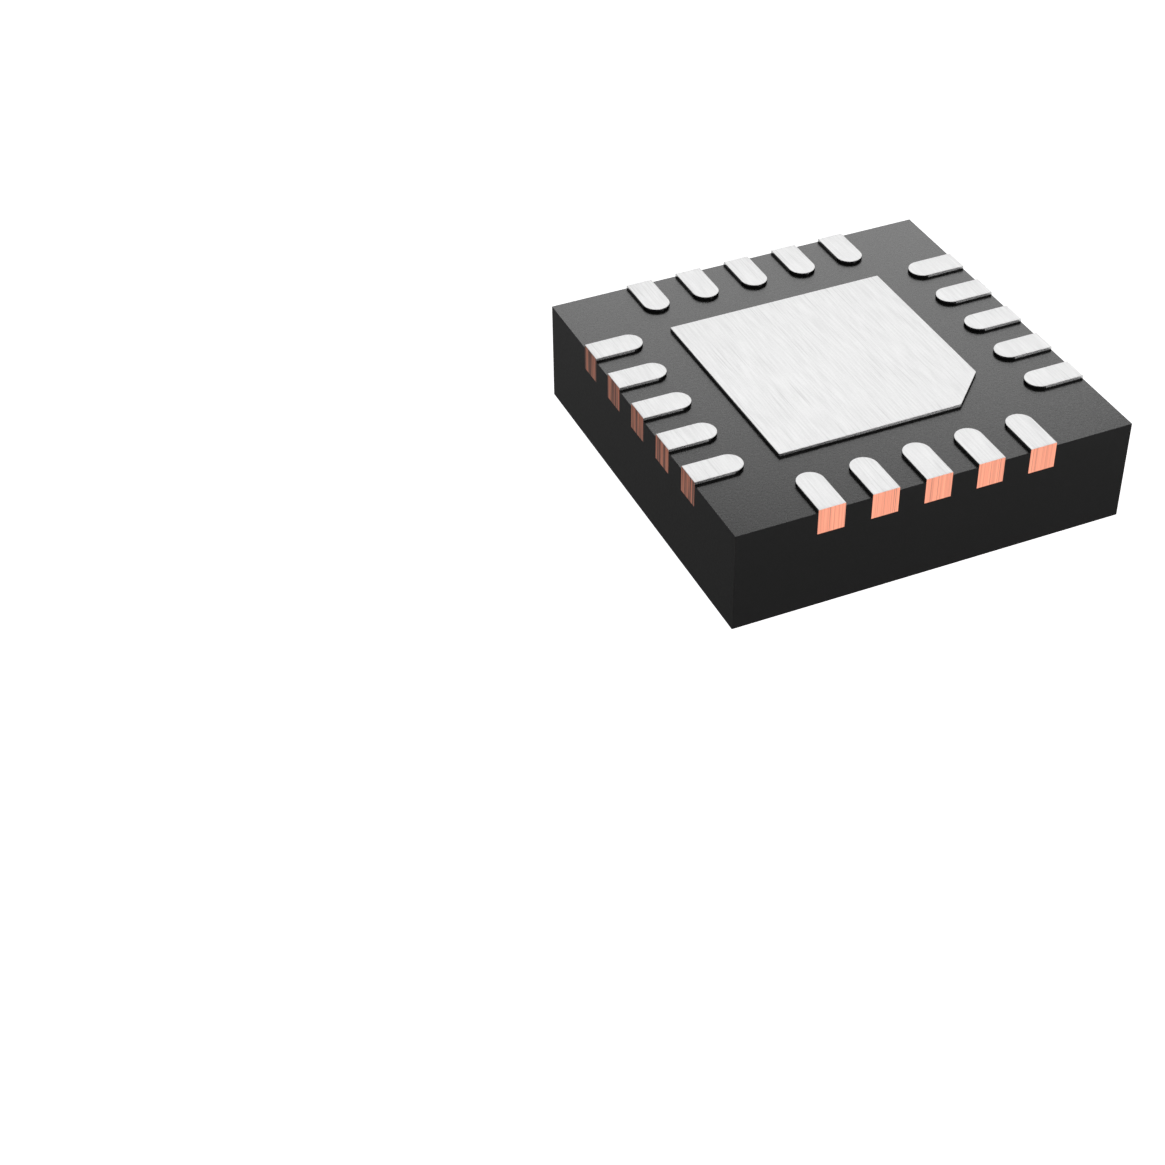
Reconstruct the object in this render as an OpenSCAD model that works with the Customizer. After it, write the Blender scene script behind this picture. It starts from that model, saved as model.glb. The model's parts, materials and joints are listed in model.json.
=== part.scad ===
// Quad flat no-lead chip, lying on its flat marking face with its solder face up.
// The origin is the centre of the marking face and +Z points out of the solder face.
// Terminal 1 is on the -Y side, next to the corner at +X -Y where the thermal pad is cut.
// Seen from above, the terminals count clockwise from there. All sizes are in millimetres.

/* [Moulded body] */
// Side of the square body
body_w = 3; // [2.9:0.05:3.6]
// Height of the body, from the marking face to the mould's solder side
body_h = 0.775; // [0.7:0.005:0.95]

/* [Terminals] */
// Number of terminals on each side
per_side = 5; // [2:1:5]
// Distance between the middles of two neighbouring terminals
pitch = 0.4; // [0.34:0.01:0.45]
// Width of a terminal
terminal_w = 0.2; // [0.15:0.01:0.26]
// Length of a terminal's solder face, from the sawn side to its round inner end
terminal_l = 0.4; // [0.32:0.01:0.45]
// Height that the terminals and the pad stand out of the mould
standoff = 0.025; // [0.005:0.005:0.05]

/* [Thermal pad] */
// Side of the pad's solder face
pad_w = 1.7; // [1.5:0.01:1.8]
// Length that the cut takes off each edge at the corner by terminal 1
pad_cut = 0.3; // [0.1:0.01:0.5]

/* [Lead frame] */
// Thickness of the copper sheet that the terminals and the pad are etched from
frame_t = 0.2; // [0.16:0.005:0.25]
// Depth of the half etch, measured from the solder face
etch_t = 0.1; // [0.06:0.005:0.14]
// Reach of the half-etched lip that locks the copper into the mould
lip = 0.06; // [0.03:0.005:0.08]

/* [Die] */
// Side of the square silicon die
die_w = 1.2; // [0.9:0.01:1.45]
// Thickness of the die
die_t = 0.2; // [0.1:0.005:0.25]
// Thickness of the glue under the die
glue_t = 0.025; // [0.01:0.005:0.04]
// Width of the glue's rim round the die
glue_rim = 0.04; // [0.01:0.005:0.08]

/* [Bond wires] */
// Diameter of the wire
wire_d = 0.025; // [0.018:0.001:0.035]
// Diameter of the ball that starts a wire on the die
ball_d = 0.06; // [0.04:0.002:0.08]
// Height of the ball
ball_h = 0.015; // [0.008:0.001:0.025]
// Height that the loop rises over the die
loop_h = 0.12; // [0.08:0.005:0.16]
// Distance from a ball to the edge of the die that its wire crosses
bond_inset = 0.06; // [0.045:0.005:0.1]
// Distance from the last ball of a row to the corner of the die
bond_corner = 0.2; // [0.16:0.01:0.3]
// Length of the flattened stitch that ends a wire on its terminal
stitch_l = 0.05; // [0.03:0.005:0.08]
// Distance from the end of the stitch to the round end of the solder face
stitch_inset = 0.12; // [0.02:0.01:0.15]

/* [Hidden] */
side_count = 4;
terminal_count = side_count * per_side;
seat_z = body_h + standoff;
etch_z = seat_z - etch_t;
frame_z = seat_z - frame_t;
glue_z = frame_z - glue_t;
die_z = glue_z - die_t;

glue_w = die_w + 2 * glue_rim;
bond_pitch = (die_w - 2 * bond_corner) / (per_side - 1);

wire_r = wire_d / 2;
ball_r = ball_d / 2;
neck_z = die_z - ball_h - wire_r;
wire_sides = 8;
loop_steps = 8;
// A ring's flat sides lie this share of its radius from its middle
flat_share = cos(180 / wire_sides);
// The stitch spreads sideways as it flattens: half height and half width as shares of the wire's radius
stitch_mid = [0.6, 1.25];
stitch_end = [0.2, 1.5];
// Height of the loop's first control point, in loop heights, that gives a loop of that height
loop_pull = 2.5;
// Place of the loop's second control point, as a share of the run
loop_reach = 0.6;

// Pockets run this far out of the mould, so that a cut never ends on a face
overrun = 0.05;
arc_steps = 48;

mould_black = "#2c2c2e";
tin_grey = "#e9e9e7";
copper = "#f0a585";
silicon_grey = "#5d6570";
glue_grey = "#b9b9b4";
wire_gold = "#d9b04a";

function two_digits(i) = str(i < 10 ? "0" : "", i);
function terminal_name(i) = str("terminal_", two_digits(i));
function wire_name(i) = str("bond_wire_", two_digits(i));

// Place along its side of the terminal that comes k-th after the side's first corner
function along_side(k, spacing) = ((per_side - 1) / 2 - k) * spacing;
function side_of(i) = floor((i - 1) / per_side);
function place_of(i) = (i - 1) % per_side;

// Turns a piece drawn at the -Y side to the side that terminal i is on
module at_side_of(i) {
    rotate(-90 * side_of(i)) children();
}

module at_terminal(i) {
    at_side_of(i) translate([along_side(place_of(i), pitch), 0, 0]) children();
}

// A flat tongue from the sawn side inwards, with a half-round inner end
module tongue(length, bottom, top, out = 0) {
    round_y = length - terminal_w / 2;
    translate([0, -body_w / 2, bottom])
        linear_extrude(top - bottom) {
            translate([-terminal_w / 2, -out]) square([terminal_w, round_y + out]);
            translate([0, round_y]) circle(d = terminal_w, $fn = arc_steps);
        }
}

// A terminal up to the given height: a land, and under it a half-etched tip that reaches further in
module terminal_shape(i, top, out = 0) {
    at_terminal(i) {
        tongue(terminal_l, frame_z, top, out);
        tongue(terminal_l + lip, frame_z, etch_z, out);
    }
}

// One terminal: bare copper where it is sawn, and tinned where it stands out of the mould
module terminal(i) {
    color(copper) terminal_shape(i, body_h);
    color(tin_grey) at_terminal(i) tongue(terminal_l, body_h, seat_z);
}

// A square plate with the corner at +X -Y cut at 45 degrees
module cut_plate(side, cut, bottom, top) {
    half = side / 2;
    translate([0, 0, bottom])
        linear_extrude(top - bottom)
            polygon([[-half, -half], [half - cut, -half], [half, -half + cut], [half, half], [-half, half]]);
}

// The die's paddle: its solder face shows, and its half-etched lip keeps an even reach along the cut
module thermal_pad() {
    lip_cut = pad_cut + (2 - sqrt(2)) * lip;
    color(tin_grey) cut_plate(pad_w, pad_cut, frame_z, seat_z);
    color(copper) cut_plate(pad_w + 2 * lip, lip_cut, frame_z, etch_z);
}

module die_attach() {
    color(glue_grey) translate([0, 0, glue_z + glue_t / 2]) cube([glue_w, glue_w, glue_t], center = true);
}

module silicon_die() {
    color(silicon_grey) translate([0, 0, die_z + die_t / 2]) cube([die_w, die_w, die_t], center = true);
}

// Point of a cubic curve with control points a, b, c, d, and its direction there
function curve(t, a, b, c, d) =
    pow(1 - t, 3) * a + 3 * pow(1 - t, 2) * t * b + 3 * (1 - t) * t * t * c + pow(t, 3) * d;
function curve_way(t, a, b, c, d) =
    let (way = pow(1 - t, 2) * (b - a) + 2 * (1 - t) * t * (c - b) + t * t * (d - c)) way / norm(way);

// A ring is [distance along the run, height, half height, half width, direction as [run, height]]
function wire_rings(run) =
    let (
        start = [0, neck_z],
        rise = [0, die_z - loop_pull * loop_h],
        land = [run - stitch_l, frame_z - wire_r],
        reach = [loop_reach * land[0], (die_z + frame_z) / 2],
        loop = [for (k = [0 : loop_steps]) let (t = k / loop_steps)
            let (at = curve(t, start, rise, reach, land), way = curve_way(t, start, rise, reach, land))
            [at[0], at[1], wire_r, wire_r, way]],
        stitch = [for (s = [[run - stitch_l / 2, stitch_mid], [run, stitch_end]])
            let (high = s[1][0] * wire_r, wide = s[1][1] * wire_r)
            [s[0], frame_z - high * flat_share, high, wide, [1, 0]]]
    )
    concat([[0, die_z, ball_r, ball_r, [0, -1]], [0, die_z - ball_h, ball_r, ball_r, [0, -1]]], loop, stitch);

// A tube through the rings, drawn in the upright plane of the run, which goes along +X
module ring_tube(rings) {
    points = [for (r = rings, k = [0 : wire_sides - 1])
        let (a = (k + 0.5) * 360 / wire_sides, up = r[2] * cos(a), across = r[3] * sin(a))
        [r[0] - up * r[4][1], across, r[1] + up * r[4][0]]];
    last = len(rings) - 1;
    skin = [for (i = [0 : last - 1], k = [0 : wire_sides - 1])
        let (a = i * wire_sides + k, b = i * wire_sides + (k + 1) % wire_sides)
        [a, b, b + wire_sides, a + wire_sides]];
    first_cap = [[for (k = [wire_sides - 1 : -1 : 0]) k]];
    last_cap = [[for (k = [0 : wire_sides - 1]) last * wire_sides + k]];
    polyhedron(points, concat(first_cap, skin, last_cap));
}

// One wire: a ball on the die, a loop, and a stitch on the inner face of its terminal
module bond_wire(i) {
    ball = [along_side(place_of(i), bond_pitch), -die_w / 2 + bond_inset];
    stitch = [along_side(place_of(i), pitch), -body_w / 2 + terminal_l - stitch_inset];
    way = stitch - ball;
    color(wire_gold) at_side_of(i)
        translate([ball[0], ball[1], 0]) rotate(atan2(way[1], way[0])) ring_tube(wire_rings(norm(way)));
}

// The mould fills everything round the copper, the die and the wires
module mold_body() {
    color(mould_black) difference() {
        translate([0, 0, body_h / 2]) cube([body_w, body_w, body_h], center = true);
        thermal_pad();
        die_attach();
        silicon_die();
        for (i = [1 : terminal_count]) terminal_shape(i, seat_z, overrun);
        for (i = [1 : terminal_count]) bond_wire(i);
    }
}

mold_body();
thermal_pad();
die_attach();
silicon_die();
for (i = [1 : terminal_count]) {
    terminal(i);
    bond_wire(i);
}
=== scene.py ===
"""Looks of a flat no-lead chip, made around its solids and laid out as a Blender add-on.

The chip lies on its marking face, with its solder face up. Lengths are in metres, but those of lights and of
patterns in materials are in millimetres.
"""

import json
import math

import bpy
import numpy as np
from bpy.props import FloatProperty, FloatVectorProperty, PointerProperty
from mathutils import Matrix, Vector

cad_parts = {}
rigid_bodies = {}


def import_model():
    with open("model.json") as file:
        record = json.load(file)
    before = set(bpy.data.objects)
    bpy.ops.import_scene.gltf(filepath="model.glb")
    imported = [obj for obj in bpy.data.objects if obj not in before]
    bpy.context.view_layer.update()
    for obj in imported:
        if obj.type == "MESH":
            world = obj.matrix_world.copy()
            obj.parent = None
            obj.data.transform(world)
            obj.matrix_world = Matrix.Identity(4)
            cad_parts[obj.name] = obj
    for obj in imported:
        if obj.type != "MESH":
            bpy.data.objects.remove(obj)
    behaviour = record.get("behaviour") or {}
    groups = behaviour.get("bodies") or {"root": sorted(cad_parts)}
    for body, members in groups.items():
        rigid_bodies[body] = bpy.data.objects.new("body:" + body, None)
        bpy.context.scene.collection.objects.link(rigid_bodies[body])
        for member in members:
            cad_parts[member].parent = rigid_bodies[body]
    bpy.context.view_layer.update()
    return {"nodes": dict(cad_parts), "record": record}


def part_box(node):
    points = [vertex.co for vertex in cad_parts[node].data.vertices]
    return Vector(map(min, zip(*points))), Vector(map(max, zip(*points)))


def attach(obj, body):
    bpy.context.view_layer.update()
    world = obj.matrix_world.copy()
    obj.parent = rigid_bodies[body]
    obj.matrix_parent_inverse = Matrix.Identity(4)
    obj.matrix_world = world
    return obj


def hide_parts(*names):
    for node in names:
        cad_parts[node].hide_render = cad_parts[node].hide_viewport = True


bl_info = {
    "name": "Flat no-lead chip",
    "version": (1, 0, 0),
    "blender": (4, 5, 0),
    "location": "View3D > Sidebar > Chip",
    "description": "Gives the solids of a flat no-lead chip their finish, and sets the stage for them",
    "category": "Object",
}

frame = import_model()

BODY = "root"
MM = 0.001
UM = 0.000001
PER_MM = 1000

# Pieces that take the place of solids have this before the solid's name
TINNED = "tinned_"

# Materials of a metal piece, and the slots that they have in its mesh; the last is a dark copy of the etched
# tin that paints shade
METAL_MATERIALS = ("brushed_tin", "sawn_copper", "etched_tin", "dull_etched_tin")
TIN, COPPER, ETCHED, PAINTED_SHADE = range(len(METAL_MATERIALS))

# Steps of the metal's round edges, of the pad's corners and of a terminal's end
EDGE_STEPS = 4
CORNER_STEPS = 6
END_STEPS = 24

# Points closer than this become one, and edges that bend more than this stay sharp
MERGE_STEP = 0.01 * UM
SHARP_ANGLE = math.radians(40)

TERMINALS = sorted(name for name in frame["nodes"] if name.startswith("terminal_"))
WIRES = sorted(name for name in frame["nodes"] if name.startswith("bond_wire_"))
MOUNTS = {mount["name"]: mount for mount in frame["record"]["mounts"]}
SIDE_COUNT = 4
PER_SIDE = len(TERMINALS) // SIDE_COUNT

MOULD_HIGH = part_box("mold_body")[1]
FIRST_LOW, FIRST_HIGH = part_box(TERMINALS[0])
PAD_LOW, PAD_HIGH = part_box("thermal_pad")
SIDE = MOULD_HIGH.x
SEAT_Z = FIRST_HIGH.z
FRAME_Z = FIRST_LOW.z
TERMINAL_WIDTH = FIRST_HIGH.x - FIRST_LOW.x
LAND_LENGTH = 2 * (SIDE + MOUNTS[TERMINALS[0] + "_land"]["pos_m"][1])
LIP = (FIRST_HIGH.y - FIRST_LOW.y) - LAND_LENGTH


def pad_steps():
    """Depth of the half etch and length of the pad's cut, from the points of the pad's solid."""
    x, y, z = np.array([vertex.co for vertex in frame["nodes"]["thermal_pad"].data.vertices]).T
    top = z > SEAT_Z - UM
    front = top & (y < y[top].min() + UM)
    return float(SEAT_Z - z[~top].max()), float(x[top].max() - x[front].max())


ETCH_DEPTH, PAD_CUT = pad_steps()


class ChipSizes(bpy.types.PropertyGroup):
    """Sizes of the metal that the looks add to the solids or repeat from them."""

    land_length: FloatProperty(
        name="Land length", description="Length of a terminal's solder face, from the sawn side inwards",
        default=LAND_LENGTH, min=0.0, subtype="DISTANCE", precision=6)
    lip: FloatProperty(
        name="Lip", description="Reach of the half-etched lip that the mould holds",
        default=LIP, min=0.0, subtype="DISTANCE", precision=6)
    etch_depth: FloatProperty(
        name="Etch depth", description="Depth of the half etch under the solder face",
        default=ETCH_DEPTH, min=0.0, subtype="DISTANCE", precision=6)
    pad_cut: FloatProperty(
        name="Pad cut", description="Length that the cut at the pad's corner takes off both edges there",
        default=PAD_CUT, min=0.0, subtype="DISTANCE", precision=6)
    edge_round: FloatProperty(
        name="Edge round", description="Radius of the etched edge round a solder face",
        default=3 * UM, min=0.0, subtype="DISTANCE", precision=6)
    corner_round: FloatProperty(
        name="Corner round", description="Radius of the pad's corners, seen from above",
        default=8 * UM, min=0.0, subtype="DISTANCE", precision=6)


class ChipColours(bpy.types.PropertyGroup):
    """Colours of the chip's materials and of the studio."""

    mould: FloatVectorProperty(
        name="Mould", description="Black moulding compound", subtype="COLOR", size=4, min=0.0, max=1.0,
        default=(0.005, 0.005, 0.005, 1.0))
    filler: FloatVectorProperty(
        name="Filler", description="Pale grains of filler in the moulding compound", subtype="COLOR", size=4,
        min=0.0, max=1.0, default=(0.012, 0.012, 0.012, 1.0))
    tin: FloatVectorProperty(
        name="Tin", description="Brushed tin on the solder faces", subtype="COLOR", size=4,
        min=0.0, max=1.0, default=(0.888, 0.888, 0.888, 1.0))
    tin_scratch: FloatVectorProperty(
        name="Tin scratch", description="Bottom of the brush lines in the tin", subtype="COLOR", size=4,
        min=0.0, max=1.0, default=(0.70, 0.70, 0.70, 1.0))
    etched_wall: FloatVectorProperty(
        name="Etched wall", description="Tinned wall between a solder face and the mould", subtype="COLOR",
        size=4, min=0.0, max=1.0, default=(0.48, 0.48, 0.48, 1.0))
    # Painted shade: a dark copy of the etched wall's colour, for the inner ends and the pad's cut
    painted_shade_wall: FloatVectorProperty(
        name="Painted shade wall", description="Etched wall with painted shade, at the inner ends and the pad's cut",
        subtype="COLOR", size=4, min=0.0, max=1.0, default=(0.05, 0.05, 0.05, 1.0))
    copper: FloatVectorProperty(
        name="Copper", description="Bare copper where a terminal was sawn off", subtype="COLOR", size=4,
        min=0.0, max=1.0, default=(1.0, 0.383, 0.249, 1.0))
    copper_streak: FloatVectorProperty(
        name="Copper streak", description="Darker saw marks in the copper", subtype="COLOR", size=4,
        min=0.0, max=1.0, default=(0.30, 0.15, 0.12, 1.0))
    silicon: FloatVectorProperty(
        name="Silicon", description="Face of the die", subtype="COLOR", size=4, min=0.0, max=1.0,
        default=(0.16, 0.18, 0.21, 1.0))
    glue: FloatVectorProperty(
        name="Glue", description="Silver-filled glue under the die", subtype="COLOR", size=4,
        min=0.0, max=1.0, default=(0.45, 0.45, 0.43, 1.0))
    gold: FloatVectorProperty(
        name="Gold", description="Bond wires", subtype="COLOR", size=4, min=0.0, max=1.0,
        default=(0.83, 0.64, 0.25, 1.0))
    floor: FloatVectorProperty(
        name="Floor", description="White ground under the chip", subtype="COLOR", size=4, min=0.0, max=1.0,
        default=(1.0, 1.0, 1.0, 1.0))
    studio: FloatVectorProperty(
        name="Studio", description="Faint light from all round the chip", subtype="COLOR", size=4, min=0.0,
        max=1.0, default=(0.01, 0.01, 0.01, 1.0))


class ChipStage(bpy.types.PropertyGroup):
    """Where the camera stands, and the size of the ground."""

    camera_place: FloatVectorProperty(
        name="Camera", description="Place of the camera", subtype="TRANSLATION", size=3, precision=6,
        default=(-6.7828 * MM, -11.4598 * MM, 9.6163 * MM))
    azimuth: FloatProperty(
        name="Azimuth", description="Way the camera looks, turned from +Y", subtype="ANGLE",
        default=math.radians(-22.9614))
    elevation: FloatProperty(
        name="Elevation", description="Angle that the camera looks down", subtype="ANGLE",
        default=math.radians(39.3122))
    roll: FloatProperty(
        name="Roll", description="Turn of the camera about its own line of sight", subtype="ANGLE",
        default=math.radians(-0.9083))
    field_of_view: FloatProperty(
        name="Field of view", description="Angle that the camera takes in, from side to side",
        subtype="ANGLE", default=math.radians(29.119))
    floor_reach: FloatProperty(
        name="Floor reach", description="Radius of the flat ground", subtype="DISTANCE", min=0.0,
        default=150 * MM)
    floor_sweep: FloatProperty(
        name="Floor sweep", description="Radius of the round that takes the ground up into a backdrop",
        subtype="DISTANCE", min=0.0, default=100 * MM)


def set_inputs(tree, node, inputs):
    """Links each of the given inputs of a node to its socket, or sets it to its value."""
    for key, value in inputs.items():
        if isinstance(value, bpy.types.NodeSocket):
            tree.links.new(value, node.inputs[key])
        else:
            node.inputs[key].default_value = value


def add_node(tree, kind, inputs=None, **settings):
    """Puts a node in a tree, and sets it up with its inputs."""
    node = tree.nodes.new(kind)
    for name, value in settings.items():
        setattr(node, name, value)
    set_inputs(tree, node, inputs or {})
    return node


def calculate(tree, operation, *values, clamp=False):
    """Output of a Math node on the given values or sockets."""
    inputs = dict(enumerate(values))
    return add_node(tree, "ShaderNodeMath", inputs, operation=operation, use_clamp=clamp).outputs[0]


def weighted_sum(tree, *parts):
    """Sum of sockets, each times its weight, and 1 at most."""
    total = 0.0
    for socket, weight in parts:
        total = calculate(tree, "MULTIPLY_ADD", socket, weight, total, clamp=True)
    return total


def remap(tree, value, source, target=(0.0, 1.0)):
    """Output of a smooth Map Range node that takes the range source to the range target and stays in it."""
    inputs = {
        "Value": value,
        "From Min": source[0],
        "From Max": source[1],
        "To Min": target[0],
        "To Max": target[1],
    }
    return add_node(tree, "ShaderNodeMapRange", inputs, interpolation_type="SMOOTHSTEP").outputs["Result"]


def blend_colours(tree, share, first, second):
    """Output of a colour Mix node: first where share is 0, second where it is 1."""
    mix = add_node(tree, "ShaderNodeMix", {"Factor": share}, data_type="RGBA")
    # The node's sockets for colours come after those for numbers and vectors
    set_inputs(tree, mix, {6: first, 7: second})
    return mix.outputs[2]


def shade(colour, share):
    """A colour with each part times a share, fully opaque."""
    return [share * part for part in colour[:3]] + [1.0]


def axes(tree, place):
    """X, Y and Z of a place, as three sockets."""
    return add_node(tree, "ShaderNodeSeparateXYZ", {"Vector": place}).outputs[:]


def bump(tree, height, depth, strength):
    """Output of a Bump node of the given depth in metres."""
    inputs = {"Height": height, "Distance": depth, "Strength": strength}
    return add_node(tree, "ShaderNodeBump", inputs).outputs[0]


def new_group(name, inputs, outputs):
    """An empty shader node group with float or vector inputs and float outputs."""
    group = bpy.data.node_groups.new(name, "ShaderNodeTree")
    for socket, default in inputs.items():
        kind = "NodeSocketVector" if default is None else "NodeSocketFloat"
        made = group.interface.new_socket(socket, in_out="INPUT", socket_type=kind)
        if default is not None:
            made.default_value = default
    for socket in outputs:
        group.interface.new_socket(socket, in_out="OUTPUT", socket_type="NodeSocketFloat")
    return group, group.nodes.new("NodeGroupInput").outputs, group.nodes.new("NodeGroupOutput")


def grain_group():
    """Node group: fine grain, a noise with one grain per Size, and the few grains that stand out of it."""
    known = bpy.data.node_groups.get("Fine Grain")
    if known:
        return known
    group, given, result = new_group("Fine Grain", {"Place": None, "Size": 0.01}, ("Grain", "Specks"))
    scale = calculate(group, "DIVIDE", 1.0, given["Size"])
    noise = add_node(group, "ShaderNodeTexNoise",
                     {"Vector": given["Place"], "Scale": scale, "Detail": 2.0, "Roughness": 0.6})
    cells = add_node(group, "ShaderNodeTexVoronoi", {"Vector": given["Place"], "Scale": scale})
    specks = remap(group, cells.outputs["Distance"], (0.32, 0.18))
    set_inputs(group, result, {"Grain": noise.outputs["Fac"], "Specks": specks})
    return group


def fine_grain(tree, place, size):
    """Grain of the given size, and its specks, as two sockets."""
    made = add_node(tree, "ShaderNodeGroup", {"Place": place, "Size": size}, node_tree=grain_group())
    return made.outputs["Grain"], made.outputs["Specks"]


def lines_group():
    """Node group: fine lines, and a few deep ones that are thinner and longer.

    Both are a noise that is drawn out by Length over Width.
    """
    known = bpy.data.node_groups.get("Drawn Lines")
    if known:
        return known
    sockets = {"Across": 0.0, "Along": 0.0, "Width": 0.01, "Length": 0.3}
    group, given, result = new_group("Drawn Lines", sockets, ("Lines", "Deep"))
    across = calculate(group, "DIVIDE", given["Across"], given["Width"])
    along = calculate(group, "DIVIDE", given["Along"], given["Length"])
    place = add_node(group, "ShaderNodeCombineXYZ", {"X": across, "Y": along}).outputs[0]
    thinner, elsewhere = (1.25, 0.5, 1.0), (37.0, 11.0, 5.0)
    apart = add_node(group, "ShaderNodeVectorMath", {0: place, 1: thinner, 2: elsewhere},
                     operation="MULTIPLY_ADD").outputs[0]
    fine = add_node(group, "ShaderNodeTexNoise",
                    {"Vector": place, "Scale": 1.0, "Detail": 2.0, "Roughness": 0.5})
    deep = add_node(group, "ShaderNodeTexNoise", {"Vector": apart, "Scale": 1.0, "Detail": 0.0})
    set_inputs(group, result, {
        "Lines": remap(group, fine.outputs["Fac"], (0.25, 0.75)),
        "Deep": remap(group, deep.outputs["Fac"], (0.68, 0.78)),
    })
    return group


def drawn_lines(tree, across, along, width, length):
    """Fine lines of the given width and length, and deep ones, as two sockets."""
    inputs = {"Across": across, "Along": along, "Width": width, "Length": length}
    made = add_node(tree, "ShaderNodeGroup", inputs, node_tree=lines_group())
    return made.outputs["Lines"], made.outputs["Deep"]


def sawn_mask(tree, reach):
    """1 where a reach from the chip's middle comes to a sawn side, and 0 up to 0.002 mm short of it."""
    edge = PER_MM * SIDE
    return remap(tree, reach, (edge - 0.002, edge - 0.001))


def new_material(name):
    """A material with a Principled shader, and its place on the chip in millimetres."""
    material = bpy.data.materials.new(name)
    material.use_nodes = True
    tree = material.node_tree
    shader = tree.nodes["Principled BSDF"]
    place = add_node(tree, "ShaderNodeTexCoord").outputs["Object"]
    scaled = add_node(tree, "ShaderNodeMapping", {"Vector": place, "Scale": (PER_MM,) * 3}).outputs[0]
    return material, tree, shader, scaled


def mould_material(colours):
    """Black moulding compound: fine pale filler, with matte moulded faces and finely sawn sides."""
    material, tree, shader, place = new_material("mould_compound")
    x, y, z = axes(tree, place)
    grain, specks = fine_grain(tree, place, size=0.019)
    lines, _ = drawn_lines(tree, across=z, along=calculate(tree, "ADD", x, y), width=0.02, length=1.2)
    reach = calculate(tree, "MAXIMUM", calculate(tree, "ABSOLUTE", x), calculate(tree, "ABSOLUTE", y))
    sawn = sawn_mask(tree, reach)
    pale = weighted_sum(tree, (grain, 0.35), (specks, 0.3))
    matte = remap(tree, grain, (0.3, 0.7), (0.25, 0.31))
    pits = calculate(tree, "MULTIPLY", grain, calculate(tree, "MULTIPLY_ADD", sawn, -0.4, 1.0))
    marks = calculate(tree, "MULTIPLY", lines, calculate(tree, "MULTIPLY", sawn, 0.15))
    set_inputs(tree, shader, {
        "Base Color": blend_colours(tree, pale, colours.mould, colours.filler),
        "Roughness": calculate(tree, "MULTIPLY_ADD", sawn, 0.22, matte),
        "Normal": bump(tree, calculate(tree, "ADD", pits, marks), depth=2.0 * UM, strength=0.18),
    })
    return material


def tin_material(colours):
    """Brushed tin, with short fine lines along Y and a few deeper scratches."""
    material, tree, shader, place = new_material("brushed_tin")
    x, y, _ = axes(tree, place)
    lines, deep = drawn_lines(tree, across=x, along=y, width=0.013, length=0.28)
    grain, _ = fine_grain(tree, place, size=0.014)
    worn = weighted_sum(tree, (lines, 0.38), (grain, 0.51), (deep, 0.51))
    set_inputs(tree, shader, {
        "Base Color": blend_colours(tree, worn, colours.tin, colours.tin_scratch),
        "Roughness": remap(tree, lines, (0.0, 1.0), (0.32, 0.4)),
        "Metallic": 1.0,
        "Normal": bump(tree, lines, depth=0.6 * UM, strength=0.3),
    })
    return material


def copper_material(colours):
    """Sawn copper: upright saw marks across each terminal's end, some of them dark.

    On the left and right sides the marks are wider, because Y counts for less, and more of them are dark.
    """
    material, tree, shader, place = new_material("sawn_copper")
    x, y, z = axes(tree, place)
    around = calculate(tree, "MULTIPLY_ADD", y, 0.36, x)
    lines, deep = drawn_lines(tree, across=around, along=z, width=0.008, length=1.5)
    beside = sawn_mask(tree, calculate(tree, "ABSOLUTE", x))
    coarse = remap(tree, lines, (0.4, 0.75))
    dark = weighted_sum(tree, (coarse, beside), (lines, 0.46), (deep, 0.9))
    set_inputs(tree, shader, {
        "Base Color": blend_colours(tree, dark, colours.copper, colours.copper_streak),
        "Roughness": remap(tree, lines, (0.0, 1.0), (0.32, 0.4)),
        "Metallic": 1.0,
        "Normal": bump(tree, lines, depth=0.6 * UM, strength=0.3),
    })
    return material


def etched_material(name, colour, edge):
    """Etched wall of the metal: finely pitted and darker in the pits, with painted shade along its foot
    where it meets the mould.

    The edge is its colour at a low angle.
    """
    material, tree, shader, place = new_material(name)
    _, _, z = axes(tree, place)
    grain, _ = fine_grain(tree, place, size=0.01)
    foot = PER_MM * MOULD_HIGH.z
    # Painted shade at the wall's foot: dark up to 0.002 mm above the mould, back to full colour by 0.009 mm
    above = remap(tree, z, (foot + 0.002, foot + 0.009))
    pitted = blend_colours(tree, grain, shade(colour, 0.9), colour)
    set_inputs(tree, shader, {
        # Painted shade: a tenth of the colour along the foot, where the wall meets the mould
        "Base Color": blend_colours(tree, above, shade(colour, 0.1), pitted),
        "Roughness": remap(tree, grain, (0.3, 0.7), (0.22, 0.26)),
        "Metallic": 1.0,
        "Specular Tint": edge,
        "Normal": bump(tree, grain, depth=0.3 * UM, strength=0.1),
    })
    return material


def metal_materials(colours):
    """Materials of the metal in the order of their slots, made once and shared by its pieces."""
    known = [bpy.data.materials.get(name) for name in METAL_MATERIALS]
    if all(known):
        return known
    return [
        tin_material(colours),
        copper_material(colours),
        etched_material("etched_tin", colours.etched_wall, edge=colours.tin),
        # A dark copy of the etched tin, which paints shade on the inner ends and the pad's cut
        etched_material("dull_etched_tin", colours.painted_shade_wall, edge=colours.painted_shade_wall),
    ]


def silicon_material(colours):
    """Polished silicon, with the faint blocks of a circuit."""
    material, tree, shader, place = new_material("polished_silicon")
    blocks = add_node(tree, "ShaderNodeTexBrick", {
        "Vector": place,
        "Color1": colours.silicon,
        "Color2": shade(colours.silicon, 0.8),
        "Mortar": shade(colours.silicon, 1.5),
        "Scale": 6.0,
        "Mortar Size": 0.01,
    })
    set_inputs(tree, shader, {
        "Base Color": blocks.outputs["Color"],
        "Roughness": remap(tree, blocks.outputs["Fac"], (0.0, 1.0), (0.12, 0.3)),
    })
    return material


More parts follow.
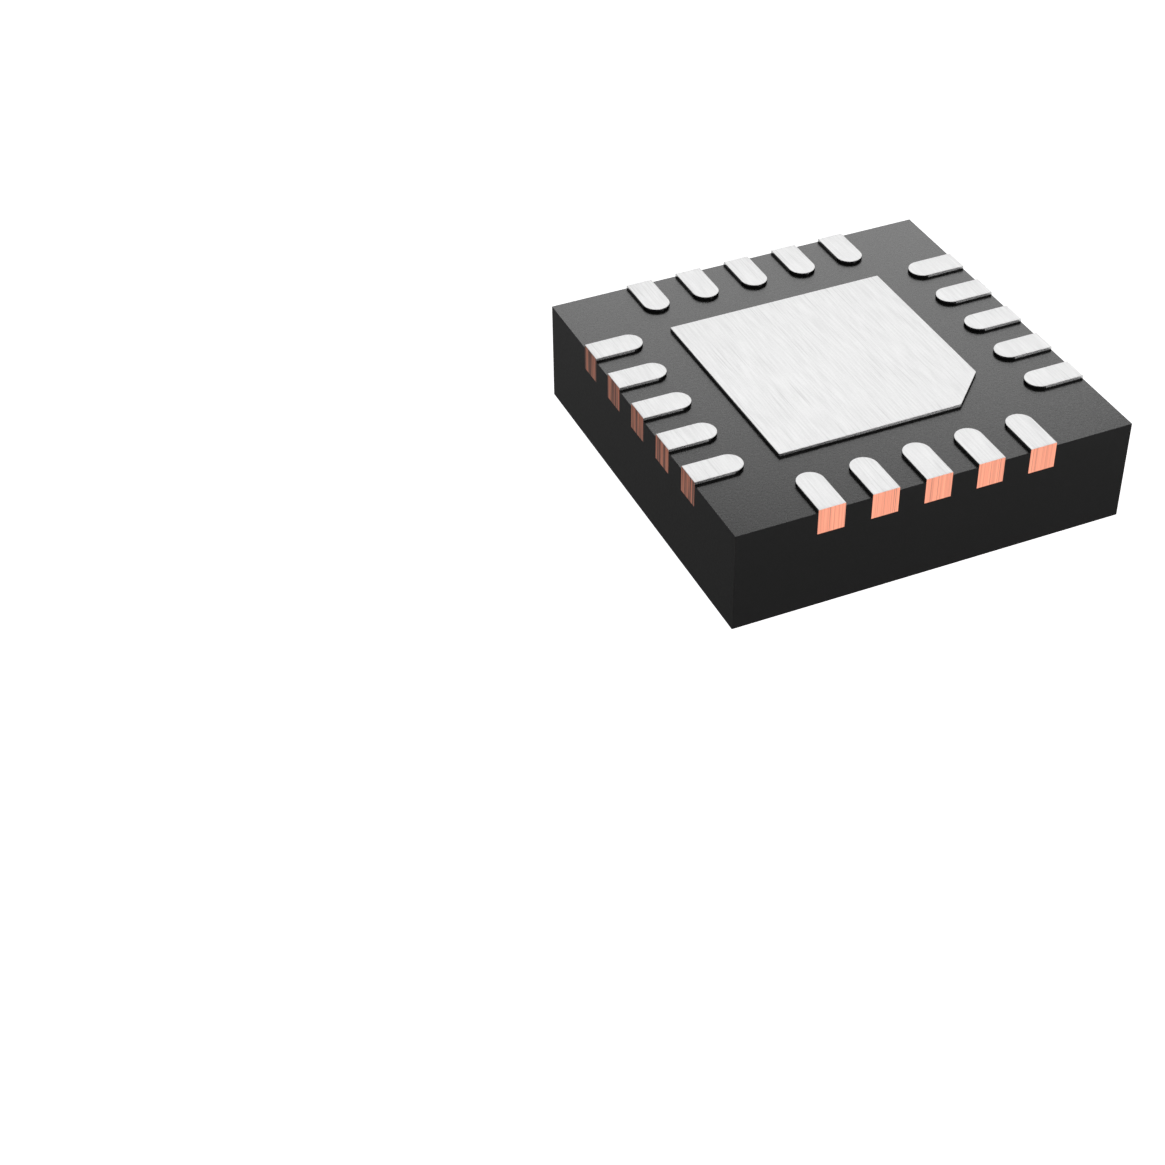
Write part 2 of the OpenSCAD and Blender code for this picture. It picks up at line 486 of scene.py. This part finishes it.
def glue_material(colours):
    """Grey glue full of silver flakes."""
    material, tree, shader, place = new_material("silver_glue")
    grain, specks = fine_grain(tree, place, size=0.02)
    set_inputs(tree, shader, {
        "Base Color": blend_colours(tree, grain, shade(colours.glue, 0.5), colours.glue),
        "Roughness": remap(tree, specks, (0.0, 1.0), (0.55, 0.25)),
        "Metallic": remap(tree, specks, (0.0, 1.0), (0.1, 0.9)),
    })
    return material


def gold_material(colours):
    """Drawn gold wire, very slightly uneven."""
    material, tree, shader, place = new_material("drawn_gold")
    grain, _ = fine_grain(tree, place, size=0.01)
    set_inputs(tree, shader, {
        "Base Color": blend_colours(tree, grain, shade(colours.gold, 0.85), colours.gold),
        "Roughness": remap(tree, grain, (0.2, 0.8), (0.15, 0.3)),
        "Metallic": 1.0,
    })
    return material


def floor_material(colours):
    """White ground that glows as white as the picture's ground."""
    material = bpy.data.materials.new("white_ground")
    material.use_nodes = True
    shader = material.node_tree.nodes["Principled BSDF"]
    looks = {"Base Color": colours.floor, "Emission Color": colours.floor, "Emission Strength": 1.0}
    set_inputs(material.node_tree, shader, looks)
    return material


def stack_of_outlines(name, outlines, slots):
    """Closed mesh through a stack of closed outlines, given as an array of rows by points by xyz.

    The surface is a grid of the place along the outline by the place up the stack, with a flat cap at each
    end. Points that coincide become one, and faces that shrink to nothing are left out. The material slot of
    each face between two rows is in slots, an array of rows less one by points.
    """
    rows, count = outlines.shape[:2]
    points = outlines.reshape(-1, 3)
    slots = slots.reshape(-1)
    index = np.arange(rows * count).reshape(rows, count)
    after = np.roll(index, -1, axis=1)
    quads = np.stack([index[:-1], after[:-1], after[1:], index[1:]], axis=-1).reshape(-1, 4)
    keys = np.round(points / MERGE_STEP).astype(np.int64)
    _, first, place = np.unique(keys, axis=0, return_index=True, return_inverse=True)
    place = place.reshape(-1)
    corners = place[quads]
    kept = corners != np.roll(corners, -1, axis=1)
    used = kept.sum(axis=1)
    four, three = used == 4, used == 3
    faces = corners[four].tolist() + corners[three][kept[three]].reshape(-1, 3).tolist()
    bottom, top = place[index[0, ::-1]], place[index[-1]]
    faces += [cap[cap != np.roll(cap, -1)].tolist() for cap in (bottom, top)]
    mesh = bpy.data.meshes.new(name)
    mesh.from_pydata(points[first].tolist(), [], faces)
    mesh.polygons.foreach_set("material_index", np.concatenate([slots[four], slots[three], [ETCHED, TIN]]))
    mesh.polygons.foreach_set("use_smooth", [True] * len(faces))
    mesh.set_sharp_from_angle(angle=SHARP_ANGLE)
    mesh.update()
    return mesh


def flat_row(outline, height):
    """One row of points: an outline at a height."""
    return np.column_stack([outline, np.full(len(outline), height)])[None]


def rounded_edge(outline, inward, top, radius):
    """Rows of an outline whose top edge is a quarter round.

    For a from 0 to a right angle, a row lies radius (1 - cos a) inwards, radius (1 - sin a) under the top.
    """
    angle = np.linspace(0, math.pi / 2, EDGE_STEPS + 1)[:, None]
    level = outline[None] + (radius * (1 - np.cos(angle)))[..., None] * inward[None]
    height = np.broadcast_to(top - radius + radius * np.sin(angle), level.shape[:2])
    return np.concatenate([level, height[..., None]], axis=-1)


def stepped_rows(low, high, inward, sizes):
    """Rows of a half-etched piece: the outline low up to the etch, then high up to a round top edge."""
    etch_z = SEAT_Z - sizes.etch_depth
    return np.concatenate([
        flat_row(low, FRAME_Z), flat_row(low, etch_z), flat_row(high, etch_z),
        rounded_edge(high, inward, SEAT_Z, sizes.edge_round)])


def metal_slots(rows):
    """Material slots of a metal piece: tin on its round top edge, and an etched wall below that."""
    slots = np.full((len(rows) - 1, rows.shape[1]), ETCHED)
    slots[-EDGE_STEPS:] = TIN
    return slots


def tongue(width, shoulder, length):
    """Outline of a terminal: straight flanks from its sawn end at y = 0, and a half-round inner end.

    The end is (width / 2) (cos a, sin a) for a from pi to 0, about a point half a width short of the length.
    Each flank has a point at the shoulder too. Also gives each point's way inwards, for a mitred inset.
    """
    angle = np.linspace(math.pi, 0, END_STEPS + 1)
    ring = np.column_stack([np.cos(angle), np.sin(angle)])
    arc = width / 2 * ring + [0, length - width / 2]
    flank = np.array([[-width / 2, 0], [-width / 2, shoulder]])
    outline = np.concatenate([flank, arc, flank[::-1] * [-1, 1]])
    inward = np.concatenate([[[1, 1], [1, 0]], -ring, [[-1, 0], [-1, 1]]])
    return outline, inward


def terminal_place(node):
    """Quarter turns from the -Y side to a terminal's side, and the terminal's place along that side."""
    low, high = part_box(node)
    middle = (low + high) / 2
    turns = int(round(math.atan2(-middle.x, -middle.y) / (math.pi / 2))) % SIDE_COUNT
    return turns, (middle.x, -middle.y, -middle.x, middle.y)[turns]


def terminal_mesh(node, sizes):
    """A terminal: a half-etched tongue, a shorter one above it to the solder face, and a round top edge.

    It is drawn along +Y from its sawn end, moved out to the side, and given the quarter turns of that side.
    """
    shoulder = sizes.land_length - TERMINAL_WIDTH / 2
    low, _ = tongue(TERMINAL_WIDTH, shoulder, sizes.land_length + sizes.lip)
    high, inward = tongue(TERMINAL_WIDTH, shoulder, sizes.land_length)
    turns, along = terminal_place(node)
    # Exact cosine and sine of the turns, which go clockwise
    cos, sin = ((1, 0), (0, -1), (-1, 0), (0, 1))[turns]
    rows = stepped_rows(low, high, inward, sizes)
    rows[..., :2] += [along, -SIDE]
    rows[..., :2] = rows[..., :2] @ np.array([[cos, sin], [-sin, cos]])
    # Turned round, so that the faces point outwards
    rows = rows[:, ::-1]
    slots = metal_slots(rows)
    # Each flank has two walls, the round end lies between the flanks, and the sawn end comes last
    # Painted shade: the walls of the round end take the dark copy of the etched tin
    slots[:-EDGE_STEPS, 2:-3] = PAINTED_SHADE
    slots[:-EDGE_STEPS, -1] = COPPER
    return stack_of_outlines(TINNED + node, rows, slots)


def rounded_polygon(corners, radius):
    """Outline of a polygon with round corners: radius (cos a, sin a) about each corner inset by the radius.

    Also gives each point's way inwards.
    """
    after = np.roll(corners, -1, axis=0) - corners
    edge_angle = np.arctan2(after[:, 1], after[:, 0])
    before_angle = np.roll(edge_angle, 1)
    turn = (edge_angle - before_angle) % (2 * math.pi)
    middle = before_angle + turn / 2
    inset = np.column_stack([-np.sin(middle), np.cos(middle)])
    centre = corners + (radius / np.cos(turn / 2))[:, None] * inset
    angle = before_angle[:, None] - math.pi / 2 + turn[:, None] * np.linspace(0, 1, CORNER_STEPS + 1)
    ring = np.stack([np.cos(angle), np.sin(angle)], axis=-1)
    return (centre[:, None] + radius * ring).reshape(-1, 2), -ring.reshape(-1, 2)


def cut_square(side, cut):
    """Corners of a square about the origin, counter-clockwise, with the +X -Y one cut at 45 degrees."""
    half = side / 2
    return np.array([[-half, -half], [half - cut, -half], [half, cut - half], [half, half], [-half, half]])


def pad_mesh(node, sizes):
    """The thermal pad: a half-etched plate, a smaller one up to the solder face, and a round top edge."""
    wide = PAD_HIGH.x - PAD_LOW.x
    lip_cut = sizes.pad_cut + (2 - math.sqrt(2)) * sizes.lip
    low, _ = rounded_polygon(cut_square(wide, lip_cut), sizes.corner_round)
    high, inward = rounded_polygon(cut_square(wide - 2 * sizes.lip, sizes.pad_cut), sizes.corner_round)
    rows = stepped_rows(low, high, inward, sizes)
    slots = metal_slots(rows)
    # The wall of the cut comes after the walls round the first two corners
    # Painted shade: the cut's wall takes the dark copy of the etched tin
    slots[:-EDGE_STEPS, 2 * CORNER_STEPS + 1] = PAINTED_SHADE
    return stack_of_outlines(TINNED + node, rows, slots)


def place_piece(mesh, materials, node):
    """Makes an object of a mesh that stands for a solid, and lets it ride on the chip."""
    piece = bpy.data.objects.new(mesh.name, mesh)
    bpy.context.scene.collection.objects.link(piece)
    for material in materials:
        mesh.materials.append(material)
    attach(piece, BODY)
    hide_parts(node)


def coat(node, material):
    """Gives a solid its material."""
    mesh = frame["nodes"][node].data
    mesh.materials.clear()
    mesh.materials.append(material)


class CHIP_OT_mould(bpy.types.Operator):
    """Give the moulded body its black compound"""

    bl_idname = "chip.mould"
    bl_label = "Moulded Body"

    def execute(self, context):
        coat("mold_body", mould_material(context.scene.chip_colours))
        return {"FINISHED"}


class CHIP_OT_terminals(bpy.types.Operator):
    """Make the terminals, with tinned solder faces and sawn copper ends"""

    bl_idname = "chip.terminals"
    bl_label = "Terminals"

    def execute(self, context):
        materials = metal_materials(context.scene.chip_colours)
        for node in TERMINALS:
            place_piece(terminal_mesh(node, context.scene.chip_sizes), materials, node)
        return {"FINISHED"}


class CHIP_OT_thermal_pad(bpy.types.Operator):
    """Make the thermal pad, with a tinned solder face and a cut corner"""

    bl_idname = "chip.thermal_pad"
    bl_label = "Thermal Pad"

    def execute(self, context):
        materials = metal_materials(context.scene.chip_colours)
        mesh = pad_mesh("thermal_pad", context.scene.chip_sizes)
        place_piece(mesh, materials, "thermal_pad")
        return {"FINISHED"}


class CHIP_OT_die(bpy.types.Operator):
    """Give the die its polished silicon"""

    bl_idname = "chip.die"
    bl_label = "Die"

    def execute(self, context):
        coat("silicon_die", silicon_material(context.scene.chip_colours))
        return {"FINISHED"}


class CHIP_OT_glue(bpy.types.Operator):
    """Give the layer under the die its silver-filled glue"""

    bl_idname = "chip.glue"
    bl_label = "Glue"

    def execute(self, context):
        coat("die_attach", glue_material(context.scene.chip_colours))
        return {"FINISHED"}


class CHIP_OT_wires(bpy.types.Operator):
    """Give the bond wires their gold"""

    bl_idname = "chip.wires"
    bl_label = "Bond Wires"

    def execute(self, context):
        gold = gold_material(context.scene.chip_colours)
        for node in WIRES:
            coat(node, gold)
        return {"FINISHED"}


def way_to(azimuth, elevation):
    """Unit vector from the chip towards an azimuth, turned from -Y, and an elevation, both in degrees."""
    a, e = math.radians(azimuth), math.radians(elevation)
    return Vector((math.sin(a) * math.cos(e), -math.cos(a) * math.cos(e), math.sin(e)))


def add_panel_light(name, azimuth, elevation, distance, width, height, radiance, lit=None):
    """A soft panel that faces the chip, and lights everything or only the pieces in lit.

    Angles are in degrees and lengths in millimetres. Its power is pi times its area times its radiance.
    """
    light = bpy.data.lights.new(name, "AREA")
    light.shape = "RECTANGLE"
    light.size = width * MM
    light.size_y = height * MM
    light.energy = math.pi * (width * MM) * (height * MM) * radiance
    panel = bpy.data.objects.new(name, light)
    back = way_to(azimuth, elevation)
    panel.location = back * (distance * MM)
    panel.rotation_euler = (-back).to_track_quat("-Z", "Y").to_euler()
    panel.visible_camera = False
    bpy.context.scene.collection.objects.link(panel)
    if lit:
        receivers = bpy.data.collections.new(name + "_lights")
        for piece in lit:
            receivers.objects.link(piece)
        panel.light_linking.receiver_collection = receivers


def add_ring_lights():
    """A ring of panels round the chip, low at the back, and one overhead, which light everything."""
    for azimuth in (62, 278, 350):
        add_panel_light(f"ring_{azimuth}", azimuth, elevation=20,
                        distance=20, width=26, height=9, radiance=0.9)
    for azimuth, width in ((109, 10), (218, 20)):
        add_panel_light(f"ring_{azimuth}", azimuth, elevation=11,
                        distance=20, width=width, height=5, radiance=0.4)
    add_panel_light("overhead", azimuth=0, elevation=90,
                    distance=20, width=16, height=16, radiance=0.9)


def add_mould_lights():
    """Panels for the black mould alone.

    A strong one stands behind it, with dim ones beside that. Others light its front, its foot and its sides.
    """
    mould = [frame["nodes"]["mold_body"]]
    add_panel_light("mould_back", azimuth=153, elevation=23,
                    distance=18, width=13, height=13, radiance=2.6, lit=mould)
    add_panel_light("mould_front", azimuth=31, elevation=34,
                    distance=20, width=5, height=5, radiance=13.0, lit=mould)
    add_panel_light("mould_under", azimuth=203, elevation=-30,
                    distance=12, width=10, height=10, radiance=0.10, lit=mould)
    for azimuth, elevation, width in ((114, 16, 12), (186, 10, 8), (226, 15, 14)):
        add_panel_light(f"mould_dim_{azimuth}", azimuth, elevation,
                        distance=18, width=width, height=7, radiance=0.8, lit=mould)
    for azimuth, radiance in ((0, 2.8), (90, 2.6), (180, 2.6), (270, 2.4)):
        add_panel_light(f"mould_side_{azimuth}", azimuth, elevation=-6,
                        distance=20, width=40, height=4, radiance=radiance, lit=mould)


def terminal_row(side):
    """Pieces of the terminals on one side, where side counts from -Y by way of -X."""
    names = TERMINALS[side * PER_SIDE:(side + 1) * PER_SIDE]
    return [bpy.data.objects[TINNED + name] for name in names]


def add_metal_lights():
    """Panels for the metal alone: three behind it, a low strip in front, and some under the chip's corners.

    Those under the corners light the sawn ends on two sides each, but the left row is dimmer from behind.
    """
    metal = [piece for piece in bpy.data.objects if piece.name.startswith(TINNED)]
    add_panel_light("metal_back", azimuth=150, elevation=39,
                    distance=20, width=20, height=22, radiance=1.12, lit=metal)
    add_panel_light("metal_right", azimuth=109, elevation=25,
                    distance=20, width=10, height=8, radiance=0.5, lit=metal)
    add_panel_light("metal_left", azimuth=218, elevation=25,
                    distance=20, width=20, height=8, radiance=0.4, lit=metal)
    add_panel_light("metal_low", azimuth=15, elevation=6,
                    distance=12, width=10, height=2, radiance=2.4, lit=metal)
    front, left, back, right = (terminal_row(side) for side in range(SIDE_COUNT))
    corners = (
        ("front_right", 45, 1.23, front + right),
        ("back_right", 135, 1.0, back + right),
        ("back_left", 225, 1.0, back),
        ("left_dim", 190, 0.25, left),
        ("front_left", 295, 1.0, front + left),
    )
    for name, azimuth, radiance, rows in corners:
        add_panel_light("ends_" + name, azimuth, elevation=-33,
                        distance=12, width=28, height=13, radiance=radiance, lit=rows)


def add_floor(colours, reach, sweep, rise_steps=8, turn_steps=64):
    """The ground: a disc that sweeps up into a backdrop all round. Only the camera sees it.

    The profile is flat to the reach, then a quarter round of radius sweep, then upright to a height of three
    times that. It is turned about Z.
    """
    angle = np.linspace(0, math.pi / 2, rise_steps + 1)
    curve = np.column_stack([reach + sweep * np.sin(angle), sweep * (1 - np.cos(angle))])
    profile = np.concatenate([curve, [[reach + sweep, 3 * sweep]]])
    turn = np.linspace(0, 2 * math.pi, turn_steps, endpoint=False)
    radius, height = profile[:, :1], np.broadcast_to(profile[:, 1:], (len(profile), turn_steps))
    points = np.stack([radius * np.cos(turn), radius * np.sin(turn), height], axis=-1).reshape(-1, 3)
    index = np.arange(len(points)).reshape(-1, turn_steps)
    after = np.roll(index, -1, axis=1)
    quads = np.stack([index[:-1], index[1:], after[1:], after[:-1]], axis=-1).reshape(-1, 4)
    mesh = bpy.data.meshes.new("floor")
    mesh.from_pydata(points.tolist(), [], [index[0].tolist()] + quads.tolist())
    mesh.materials.append(floor_material(colours))
    floor = bpy.data.objects.new("floor", mesh)
    bpy.context.scene.collection.objects.link(floor)
    floor.visible_diffuse = False
    floor.visible_glossy = False
    floor.visible_shadow = False


def add_world(colours):
    """A studio that is faintly lit from all round."""
    world = bpy.data.worlds.new("studio")
    world.use_nodes = True
    world.node_tree.nodes["Background"].inputs["Color"].default_value = colours.studio
    bpy.context.scene.world = world


def add_camera(stage):
    """A camera at its place, looking along its azimuth and elevation, with its roll."""
    data = bpy.data.cameras.new("camera")
    data.angle = stage.field_of_view
    data.clip_start = 1 * MM
    data.clip_end = 1000 * MM
    camera = bpy.data.objects.new("camera", data)
    back = way_to(math.degrees(stage.azimuth), math.degrees(stage.elevation))
    right = Vector((0, 0, 1)).cross(back).normalized()
    up = back.cross(right)
    turned = Matrix((right, up, back)).transposed() @ Matrix.Rotation(stage.roll, 3, "Z")
    camera.matrix_world = Matrix.Translation(stage.camera_place) @ turned.to_4x4()
    bpy.context.scene.collection.objects.link(camera)
    bpy.context.scene.camera = camera


class CHIP_OT_stage(bpy.types.Operator):
    """Set the ground, the lights and the camera"""

    bl_idname = "chip.stage"
    bl_label = "Stage"

    def execute(self, context):
        scene = context.scene
        add_floor(scene.chip_colours, scene.chip_stage.floor_reach, scene.chip_stage.floor_sweep)
        add_ring_lights()
        add_mould_lights()
        add_metal_lights()
        add_world(scene.chip_colours)
        add_camera(scene.chip_stage)
        scene.view_settings.view_transform = "Standard"
        return {"FINISHED"}


GROUPS = {"chip_sizes": ChipSizes, "chip_colours": ChipColours, "chip_stage": ChipStage}
OPERATORS = (
    CHIP_OT_mould,
    CHIP_OT_terminals,
    CHIP_OT_thermal_pad,
    CHIP_OT_die,
    CHIP_OT_glue,
    CHIP_OT_wires,
    CHIP_OT_stage,
)


class VIEW3D_PT_chip(bpy.types.Panel):
    """Lists the chip's sizes, colours and steps"""

    bl_label = "Flat No-Lead Chip"
    bl_space_type = "VIEW_3D"
    bl_region_type = "UI"
    bl_category = "Chip"

    def draw(self, context):
        for name, group in GROUPS.items():
            box = self.layout.box()
            for value in group.__annotations__:
                box.prop(getattr(context.scene, name), value)
        for operator in OPERATORS:
            self.layout.operator(operator.bl_idname)


CLASSES = (*GROUPS.values(), *OPERATORS, VIEW3D_PT_chip)


def register():
    """Registers the classes, and gives each scene the chip's values."""
    for cls in CLASSES:
        bpy.utils.register_class(cls)
    for name, group in GROUPS.items():
        setattr(bpy.types.Scene, name, PointerProperty(type=group))


def unregister():
    """Takes back what register has done."""
    for name in GROUPS:
        delattr(bpy.types.Scene, name)
    for cls in reversed(CLASSES):
        bpy.utils.unregister_class(cls)


def main():
    register()
    bpy.ops.chip.mould()
    bpy.ops.chip.terminals()
    bpy.ops.chip.thermal_pad()
    bpy.ops.chip.die()
    bpy.ops.chip.glue()
    bpy.ops.chip.wires()
    bpy.ops.chip.stage()


if __name__ == "__main__":
    main()
